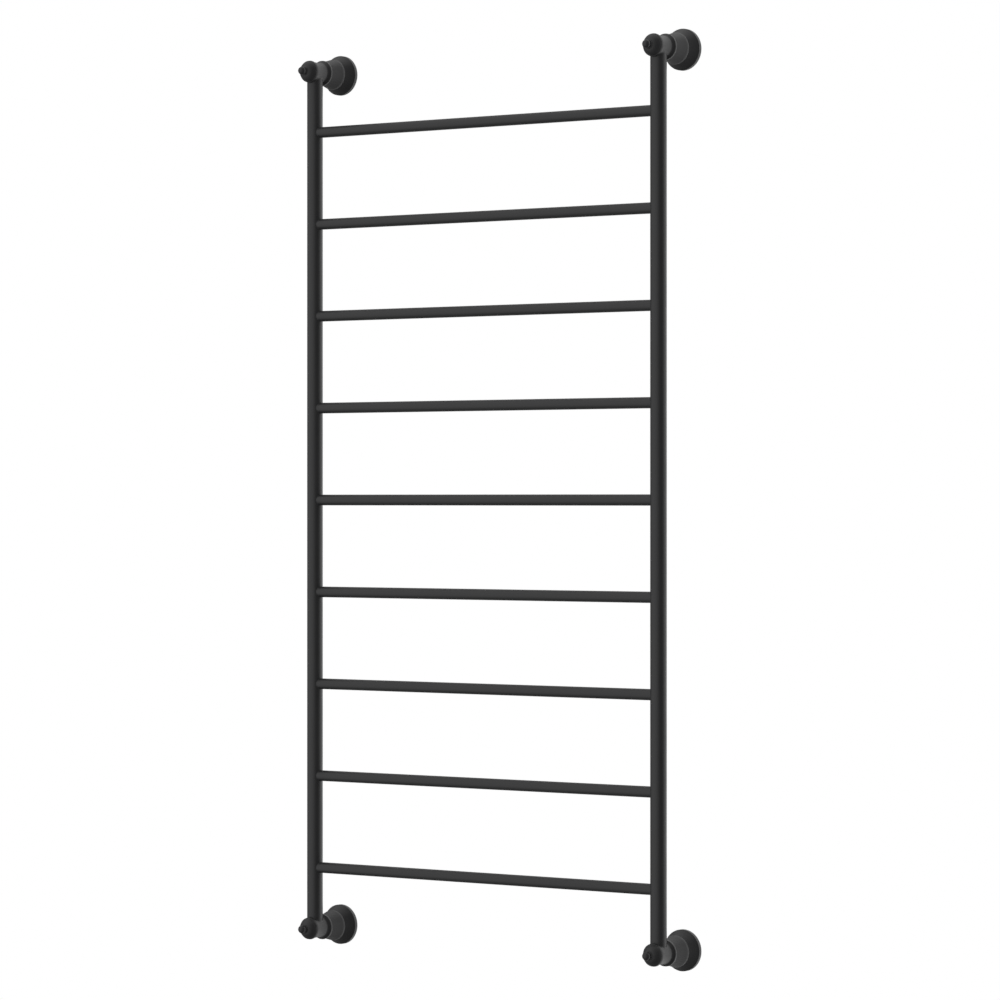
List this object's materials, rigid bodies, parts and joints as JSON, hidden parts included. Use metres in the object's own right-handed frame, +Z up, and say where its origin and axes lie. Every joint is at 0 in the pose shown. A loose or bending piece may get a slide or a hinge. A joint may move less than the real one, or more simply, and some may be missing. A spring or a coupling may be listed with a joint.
{
  "type": "towel warmer rack",
  "caption": "Wall-hung ladder towel warmer of round uprights and slimmer rungs, held off the wall by turned brackets with bell flanges and screw-on finials.",
  "frame": {"origin": "on the wall plane, midway between the four bracket axes", "axes": "+Z up along the uprights, +X to the right as the user faces the rack, +Y into the wall; the rack's front faces -Y"},
  "size_m": [0.6336, 0.0965, 1.2556],
  "materials": {
    "black_powder_coat": "matte fine-texture powder coat",
    "black_fibre": "vulcanised fibre, matte",
    "zinc_plated_steel": "bright zinc plate",
    "black_oxide_steel": "black oxide",
    "heating_cable_jacket": "silicone jacket",
    "silicone_lead": "silicone jacket",
    "heat_shrink": "heat-shrink sleeve",
    "cutout_case": "drawn case",
    "black_rubber": "moulded",
    "terminal_plastic": "moulded",
    "terminal_brass": "turned"
  },
  "bodies": {
    "rack": {"upright_left": "black_powder_coat", "upright_right": "black_powder_coat", "rung_1": "black_powder_coat", "rung_2": "black_powder_coat", "rung_3": "black_powder_coat", "rung_4": "black_powder_coat", "rung_5": "black_powder_coat", "rung_6": "black_powder_coat", "rung_7": "black_powder_coat", "rung_8": "black_powder_coat", "rung_9": "black_powder_coat", "socket_top_left": "black_powder_coat", "bracket_ring_top_left": "black_powder_coat", "wall_bell_top_left": "black_powder_coat", "wall_plate_top_left": "zinc_plated_steel", "socket_top_right": "black_powder_coat", "bracket_ring_top_right": "black_powder_coat", "wall_bell_top_right": "black_powder_coat", "wall_plate_top_right": "zinc_plated_steel", "socket_bottom_left": "black_powder_coat", "bracket_ring_bottom_left": "black_powder_coat", "wall_bell_bottom_left": "black_powder_coat", "wall_plate_bottom_left": "zinc_plated_steel", "socket_bottom_right": "black_powder_coat", "bracket_ring_bottom_right": "black_powder_coat", "wall_bell_bottom_right": "black_powder_coat", "wall_plate_bottom_right": "zinc_plated_steel", "bell_nuts": "zinc_plated_steel", "grub_screws": "black_oxide_steel", "heating_cable": "heating_cable_jacket", "cable_end_cap": "heat_shrink", "supply_lead": "silicone_lead", "thermal_cutout": "cutout_case", "splice_sleeve": "heat_shrink", "supply_grommet": "black_rubber", "terminal_block": "terminal_plastic", "terminal_screws": "terminal_brass", "earth_tag": "terminal_brass", "earth_screw": "terminal_brass"},
    "washer_top_left": {"finial_washer_top_left": "black_fibre"},
    "finial_top_left": {"finial_top_left": "black_powder_coat"},
    "washer_top_right": {"finial_washer_top_right": "black_fibre"},
    "finial_top_right": {"finial_top_right": "black_powder_coat"},
    "washer_bottom_left": {"finial_washer_bottom_left": "black_fibre"},
    "finial_bottom_left": {"finial_bottom_left": "black_powder_coat"},
    "washer_bottom_right": {"finial_washer_bottom_right": "black_fibre"},
    "finial_bottom_right": {"finial_bottom_right": "black_powder_coat"}
  },
  "joints": [
    {"name": "finial_travel_top_left", "type": "slide", "parent": "rack", "child": "washer_top_left", "axis": [0, -1, 0], "range_m": [0, 0.00625]},
    {"name": "finial_turn_top_left", "type": "hinge", "parent": "washer_top_left", "child": "finial_top_left", "pos_m": [-0.289, -0.082, 0.6], "axis": [0, -1, 0], "range_deg": [0, 1800.5]},
    {"name": "finial_travel_top_right", "type": "slide", "parent": "rack", "child": "washer_top_right", "axis": [0, -1, 0], "range_m": [0, 0.00625]},
    {"name": "finial_turn_top_right", "type": "hinge", "parent": "washer_top_right", "child": "finial_top_right", "pos_m": [0.289, -0.082, 0.6], "axis": [0, -1, 0], "range_deg": [0, 1800.5]},
    {"name": "finial_travel_bottom_left", "type": "slide", "parent": "rack", "child": "washer_bottom_left", "axis": [0, -1, 0], "range_m": [0, 0.00625]},
    {"name": "finial_turn_bottom_left", "type": "hinge", "parent": "washer_bottom_left", "child": "finial_bottom_left", "pos_m": [-0.289, -0.082, -0.6], "axis": [0, -1, 0], "range_deg": [0, 1800.5]},
    {"name": "finial_travel_bottom_right", "type": "slide", "parent": "rack", "child": "washer_bottom_right", "axis": [0, -1, 0], "range_m": [0, 0.00625]},
    {"name": "finial_turn_bottom_right", "type": "hinge", "parent": "washer_bottom_right", "child": "finial_bottom_right", "pos_m": [0.289, -0.082, -0.6], "axis": [0, -1, 0], "range_deg": [0, 1800.5]}
  ],
  "couplings": [
    {"joint": "finial_turn_top_left", "follows": "finial_travel_top_left", "rad_per_m": 5026.5},
    {"joint": "finial_turn_top_right", "follows": "finial_travel_top_right", "rad_per_m": 5026.5},
    {"joint": "finial_turn_bottom_left", "follows": "finial_travel_bottom_left", "rad_per_m": 5026.5},
    {"joint": "finial_turn_bottom_right", "follows": "finial_travel_bottom_right", "rad_per_m": 5026.5}
  ]
}
